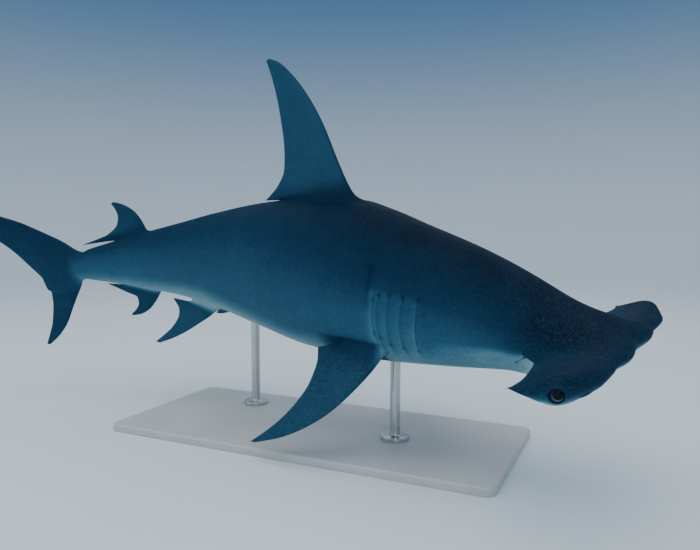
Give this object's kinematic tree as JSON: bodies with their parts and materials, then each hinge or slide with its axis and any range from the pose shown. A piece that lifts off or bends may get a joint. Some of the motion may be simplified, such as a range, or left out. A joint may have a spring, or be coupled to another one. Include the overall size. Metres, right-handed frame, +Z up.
{
  "type": "hammerhead shark",
  "caption": "Life-size great hammerhead shark in a gliding turn, tail swept round, held over a flat base by two short rods.",
  "frame": {"origin": "middle of the underside of the stand's base, on the floor", "axes": "+X towards the head along the model's greatest length, +Y to the animal's left, +Z up"},
  "size_m": [3.0209, 1.0592, 1.2209],
  "materials": {
    "skin": "satin, dark back and pale belly",
    "eye": "wet gloss",
    "stand_paint": "satin",
    "stand_steel": "brushed"
  },
  "bodies": {
    "root": {"head": "skin", "shoulder": "skin", "torso_front": "skin", "torso_rear": "skin", "tail_stock": "skin", "caudal_fin_upper": "skin", "caudal_fin_lower": "skin", "dorsal_fin_first": "skin", "dorsal_fin_second": "skin", "anal_fin": "skin", "pectoral_fin_left": "skin", "pectoral_fin_right": "skin", "pelvic_fin_left": "skin", "pelvic_fin_right": "skin", "eye_left": "eye", "eye_right": "eye", "stand_base": "stand_paint", "stand_rod_front": "stand_steel", "stand_rod_rear": "stand_steel"}
  },
  "joints": []
}
